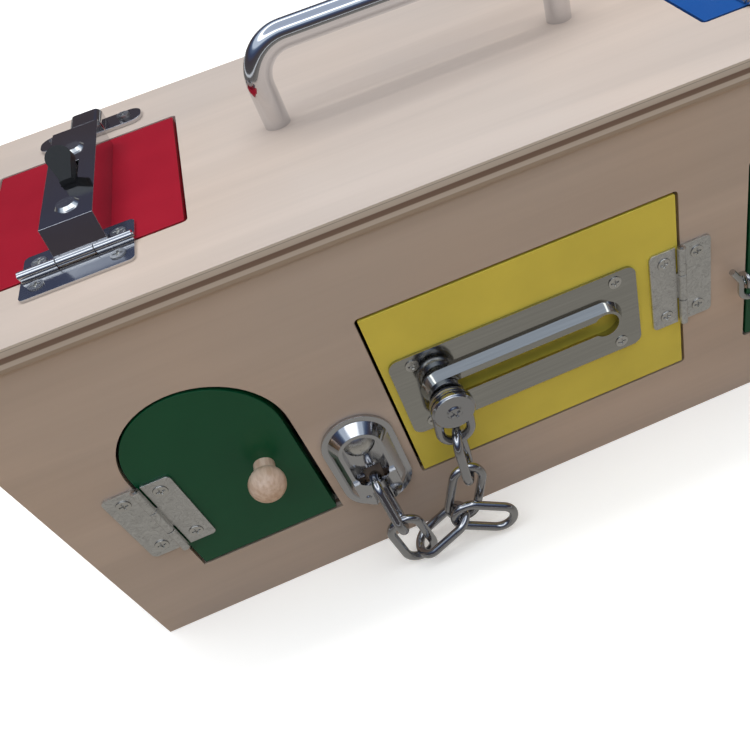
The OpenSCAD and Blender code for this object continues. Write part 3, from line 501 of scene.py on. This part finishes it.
def softened(node, width, segments=2):
    """A copy of a CAD node with its edges rounded, as sanding, pressing or plating leaves them."""
    shape = bmesh.new()
    shape.from_mesh(NODES[node].data)
    bmesh.ops.remove_doubles(shape, verts=shape.verts, dist=WELD)
    bmesh.ops.dissolve_limit(
        shape,
        angle_limit=math.radians(FLAT_DEG),
        use_dissolve_boundaries=False,
        verts=shape.verts,
        edges=shape.edges,
    )
    limit = math.radians(ROUNDED_DEG)
    joined = [edge for edge in shape.edges if len(edge.link_faces) == 2]
    sharp = [edge for edge in joined if edge.calc_face_angle(0.0) > limit]
    bmesh.ops.bevel(
        shape,
        geom=sharp,
        offset=width,
        offset_type="OFFSET",
        segments=segments,
        profile=0.5,
        affect="EDGES",
        clamp_overlap=True,
    )
    mesh = bpy.data.meshes.new(node + "_soft")
    shape.to_mesh(mesh)
    shape.free()
    mesh.shade_smooth()
    mesh.set_sharp_from_angle(angle=math.radians(CRISP_DEG))
    piece = bpy.data.objects.new(node + "_soft", mesh)
    bpy.context.scene.collection.objects.link(piece)
    # Normals weighted by area keep the broad faces flat between their rounded edges
    weighted = piece.modifiers.new("flat_faces", "WEIGHTED_NORMAL")
    weighted.keep_sharp = True
    solved = piece.evaluated_get(bpy.context.evaluated_depsgraph_get())
    piece.data = bpy.data.meshes.new_from_object(solved)
    piece.modifiers.clear()
    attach(piece, NODES[node]["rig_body"])
    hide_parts(node)
    return piece


# Stage


def paper_floor(scene):
    """A square sheet of paper under the box."""
    half = scene.lock_box_sizes.floor_side / 2
    corners = [(-half, -half, 0), (half, -half, 0), (half, half, 0), (-half, half, 0)]
    mesh = bpy.data.meshes.new("floor")
    mesh.from_pydata(corners, [], [(0, 1, 2, 3)])
    floor = bpy.data.objects.new("floor", mesh)
    # Polished metal shows the dim room, not the paper
    floor.visible_glossy = False
    scene.collection.objects.link(floor)
    dress([floor], matt_paper("matt_white_paper", scene.lock_box_colours))


def ceiling_lights(scene):
    """Two rows of tubes and a white ceiling behind them."""
    for name, place, aim, size, watts, tint in LIGHTS:
        lamp = bpy.data.lights.new(name, "AREA")
        lamp.shape = "RECTANGLE"
        lamp.size, lamp.size_y = size
        lamp.energy = watts
        lamp.color = linear(tint)
        holder = bpy.data.objects.new(name, lamp)
        holder.location = place
        # Polished metal shows the room's own bands instead
        holder.visible_glossy = False
        way = Vector(aim) - Vector(place)
        holder.rotation_euler = way.to_track_quat("-Z", "Y").to_euler()
        scene.collection.objects.link(holder)


def studio_room(scene):
    """A dim room in bands for the metal to show, and a pale background for the camera."""
    room = bpy.data.worlds.new("studio_room")
    room.use_nodes = True
    tree = room.node_tree
    tree.nodes.clear()
    way = add(tree, "ShaderNodeTexCoord").outputs["Generated"]
    height = add(tree, "ShaderNodeSeparateXYZ", {"Vector": way}).outputs["Z"]
    bands = ramp(tree, ranged(tree, height, (-1.0, 1.0)), ROOM)
    dim = add(tree, "ShaderNodeBackground", {"Color": bands})
    pale = add(tree, "ShaderNodeBackground", {"Color": (*BACKGROUND, 1.0)})
    seen = add(tree, "ShaderNodeLightPath").outputs["Is Camera Ray"]
    both = add(tree, "ShaderNodeMixShader", {0: seen, 1: dim.outputs[0], 2: pale.outputs[0]})
    add(tree, "ShaderNodeOutputWorld", {"Surface": both.outputs[0]})
    scene.world = room


def photo_camera(scene):
    """The camera, where the photo was taken from."""
    data = bpy.data.cameras.new("photo_camera")
    data.sensor_width = SENSOR_MM
    data.lens = LENS_MM
    data.shift_x, data.shift_y = LENS_SHIFT
    data.clip_start, data.clip_end = CLIP
    camera = bpy.data.objects.new("photo_camera", data)
    turn = Matrix(CAMERA_AXES).transposed().to_4x4()
    camera.matrix_world = Matrix.Translation([c * MM for c in CAMERA_MM]) @ turn
    scene.collection.objects.link(camera)
    scene.camera = camera


# Properties


def paint(name, description, hex_colour):
    """A colour that a user can change."""
    return bpy.props.FloatVectorProperty(
        name=name,
        description=description,
        subtype="COLOR",
        default=linear(hex_colour),
        min=0.0,
        max=1.0,
    )


def length(name, description, default, lowest, highest):
    """A length in metres that a user can change."""
    return bpy.props.FloatProperty(
        name=name,
        description=description,
        unit="LENGTH",
        subtype="DISTANCE",
        default=default,
        min=lowest,
        max=highest,
        precision=5,
    )


class LockBoxColours(bpy.types.PropertyGroup):
    """Colours that a user would change."""

    plywood: paint("Plywood", "Face of the lacquered plywood", "#cfbcab")
    red: paint("Red lid", "Enamel of the left lid", "#9a021b")
    blue: paint("Blue lid", "Enamel of the right lid", "#144f93")
    yellow: paint("Yellow door", "Enamel of the chain door", "#ecd957")
    green: paint("Green doors", "Enamel of the arched door and the hook door", "#075533")
    floor: paint("Floor", "Paper that the box stands on", "#fbf6ee")
    glow: paint("Floor glow", "Warm light that the floor sends up", "#c0a788")


class LockBoxSizes(bpy.types.PropertyGroup):
    """Sizes of the finish and the stage that a user would change."""

    panel_edge: length("Panel edge", "Rounding of the plywood", 0.9 * MM, 0.1 * MM, 2 * MM)
    door_edge: length("Door edge", "Rounding of the doors and lids", 0.7 * MM, 0.1 * MM, 2 * MM)
    metal_edge: length("Metal edge", "Rounding of pressed metal", 0.25 * MM, 0.05 * MM, 0.5 * MM)
    screw_edge: length("Screw edge", "Rounding of the screw heads", 0.2 * MM, 0.05 * MM, 0.4 * MM)
    floor_side: length("Floor", "Side of the pale floor", 6.0, 1.0, 20.0)


# Operators


class LOCKBOX_OT_case(bpy.types.Operator):
    """Plywood case: panels with sanded edges that show their plies"""

    bl_idname = "lockbox.case"
    bl_label = "Plywood case"

    def execute(self, context):
        edge = context.scene.lock_box_sizes.panel_edge
        for node, (across, along) in PANELS.items():
            material = birch_plywood("lacquered_birch_plywood_" + node, node, across, along)
            dress([softened(node, edge, segments=3)], material)
        return {"FINISHED"}


class LOCKBOX_OT_inside(bpy.types.Operator):
    """Inside of the box: dividers, and the magnet catch with its plate"""

    bl_idname = "lockbox.inside"
    bl_label = "Inside"

    def execute(self, context):
        dress([NODES["left_divider"], NODES["right_divider"]], planed_pine("planed_bare_pine"))
        dress([NODES["magnet_catch"]], moulded_plastic("moulded_black_abs", "#1c1c1d", 0.5))
        strike = polished_plate("zinc_plated_strike_steel", "#c4c3c0", 0.2)
        dress([NODES["catch_plate"]], strike)
        return {"FINISHED"}


class LOCKBOX_OT_doors(bpy.types.Operator):
    """Painted doors and lids with eased edges"""

    bl_idname = "lockbox.doors"
    bl_label = "Doors and lids"

    def execute(self, context):
        look = context.scene.lock_box_colours
        edge = context.scene.lock_box_sizes.door_edge
        paints = {
            "red_lid": ("sprayed_red_enamel", look.red),
            "blue_lid": ("sprayed_blue_enamel", look.blue),
            "chain_door": ("sprayed_yellow_enamel", look.yellow),
            "arch_door": ("sprayed_green_enamel", look.green),
            "hook_door": ("sprayed_green_enamel_hook_door", look.green),
        }
        for node, (name, colour) in paints.items():
            dress([softened(node, edge, segments=3)], satin_enamel(name, tuple(colour)))
        return {"FINISHED"}


class LOCKBOX_OT_hinges(bpy.types.Operator):
    """Butt hinges: scuffed leaves on the doors, polished ones on the lids, and drawn pins"""

    bl_idname = "lockbox.hinges"
    bl_label = "Hinges"

    def execute(self, context):
        edge = context.scene.lock_box_sizes.metal_edge
        scuffed = tumbled_steel("tumbled_nickel_plated_steel", "#d5d4d1")
        dress([softened(node, edge) for node in DOOR_LEAVES], scuffed)
        polished = polished_plate("polished_chromed_hinge_steel", "#cfcfd0", 0.1)
        dress([softened(node, edge) for node in LID_LEAVES], polished)
        dress([NODES["hinge_pins"]], polished_plate("drawn_bright_steel_pin", "#a9a8a6", 0.25))
        return {"FINISHED"}


class LOCKBOX_OT_screws(bpy.types.Operator):
    """Cross-headed screws and the latch's rivets"""

    bl_idname = "lockbox.screws"
    bl_label = "Screws and rivets"

    def execute(self, context):
        edge = context.scene.lock_box_sizes.screw_edge
        zinc = polished_plate("bright_zinc_plated_screw", "#d8d6d1", 0.25)
        dress([softened(node, edge) for node in SCREWS], zinc)
        nickel = polished_plate("bright_nickel_plated_rivet", "#d6d6d4", 0.16)
        dress([NODES["latch_rivets"]], nickel)
        return {"FINISHED"}


class LOCKBOX_OT_handle(bpy.types.Operator):
    """Carry handle: a bent, chromed rod"""

    bl_idname = "lockbox.handle"
    bl_label = "Carry handle"

    def execute(self, context):
        dress([NODES["carry_handle"]], polished_plate("polished_chromed_rod", "#d8d9dc", 0.05))
        return {"FINISHED"}


class LOCKBOX_OT_knob(bpy.types.Operator):
    """Wooden ball knob on the arched door"""

    bl_idname = "lockbox.knob"
    bl_label = "Ball knob"

    def execute(self, context):
        dress([NODES["ball_knob"]], turned_beech("turned_lacquered_beech"))
        return {"FINISHED"}


class LOCKBOX_OT_chain(bpy.types.Operator):
    """Door chain: slide plate, slider, links and oval anchor"""

    bl_idname = "lockbox.chain"
    bl_label = "Door chain"

    def execute(self, context):
        edge = context.scene.lock_box_sizes.metal_edge
        wire = polished_plate("barrel_chromed_wire", "#b4b4b6", 0.12)
        dress([NODES[node] for node in LINKS], wire)
        nickel = satin_nickel("pressed_satin_nickel_sheet", "#b5b4ae")
        dress([softened("chain_slide_plate", edge)], nickel)
        dress([softened("chain_slider", edge)], wire)
        chrome = polished_plate("pressed_chromed_sheet", "#c4c4c6", 0.08)
        dress([softened("chain_anchor_plate", edge)], chrome)
        return {"FINISHED"}


class LOCKBOX_OT_latch(bpy.types.Operator):
    """Lid latch: chromed housing, bolt and keeper, and a black thumb lever"""

    bl_idname = "lockbox.latch"
    bl_label = "Lid latch"

    def execute(self, context):
        chrome = polished_plate("polished_chromed_latch_steel", "#c9c8ca", 0.07)
        housing = softened("latch_housing", HOUSING_EDGE, segments=3)
        keeper = softened("latch_keeper", KEEPER_EDGE, segments=3)
        dress([housing, keeper, softened("latch_bolt", BOLT_EDGE)], chrome)
        nylon = moulded_plastic("moulded_black_nylon", "#080b0b", 0.6)
        dress([softened("latch_thumb_lever", LEVER_EDGE, segments=3)], nylon)
        return {"FINISHED"}


class LOCKBOX_OT_bolt(bpy.types.Operator):
    """Barrel bolt on the second lid"""

    bl_idname = "lockbox.bolt"
    bl_label = "Barrel bolt"

    def execute(self, context):
        edge = context.scene.lock_box_sizes.metal_edge
        chrome = polished_plate("polished_chromed_bolt_steel", "#c9c8ca", 0.1)
        pressed = [softened("barrel_plate", edge), softened("bolt_staple", edge)]
        dress([*pressed, NODES["barrel_rod"]], chrome)
        return {"FINISHED"}


class LOCKBOX_OT_hook(bpy.types.Operator):
    """Wire hook, the screw eye that it turns on and the fixed eye"""

    bl_idname = "lockbox.hook"
    bl_label = "Hook and eye"

    def execute(self, context):
        wire = polished_plate("bright_zinc_plated_wire", "#bdbcba", 0.18)
        dress([NODES["door_hook"], NODES["hook_pivot_eye"], NODES["fixed_eye"]], wire)
        return {"FINISHED"}


class LOCKBOX_OT_stage(bpy.types.Operator):
    """Pale floor, ceiling lights, the room and the camera"""

    bl_idname = "lockbox.stage"
    bl_label = "Stage"

    def execute(self, context):
        scene = context.scene
        scene.view_settings.view_transform = "Standard"
        paper_floor(scene)
        ceiling_lights(scene)
        studio_room(scene)
        photo_camera(scene)
        return {"FINISHED"}


OPERATORS = (
    LOCKBOX_OT_case,
    LOCKBOX_OT_inside,
    LOCKBOX_OT_doors,
    LOCKBOX_OT_hinges,
    LOCKBOX_OT_screws,
    LOCKBOX_OT_handle,
    LOCKBOX_OT_knob,
    LOCKBOX_OT_chain,
    LOCKBOX_OT_latch,
    LOCKBOX_OT_bolt,
    LOCKBOX_OT_hook,
    LOCKBOX_OT_stage,
)


class LOCKBOX_PT_panel(bpy.types.Panel):
    """Lists the lock box's colours, sizes and pieces in the sidebar"""

    bl_idname = "LOCKBOX_PT_panel"
    bl_label = "Lock box"
    bl_space_type = "VIEW_3D"
    bl_region_type = "UI"
    bl_category = "Lock box"

    def draw(self, context):
        for group in (context.scene.lock_box_colours, context.scene.lock_box_sizes):
            for key in group.__annotations__:
                self.layout.prop(group, key)
        for operator in OPERATORS:
            self.layout.operator(operator.bl_idname)


CLASSES = (LockBoxColours, LockBoxSizes, *OPERATORS, LOCKBOX_PT_panel)


def register():
    for cls in CLASSES:
        bpy.utils.register_class(cls)
    bpy.types.Scene.lock_box_colours = bpy.props.PointerProperty(type=LockBoxColours)
    bpy.types.Scene.lock_box_sizes = bpy.props.PointerProperty(type=LockBoxSizes)


def unregister():
    del bpy.types.Scene.lock_box_sizes
    del bpy.types.Scene.lock_box_colours
    for cls in reversed(CLASSES):
        bpy.utils.unregister_class(cls)


def main():
    register()
    for operator in OPERATORS:
        group, name = operator.bl_idname.split(".")
        getattr(getattr(bpy.ops, group), name)()


if __name__ == "__main__":
    main()
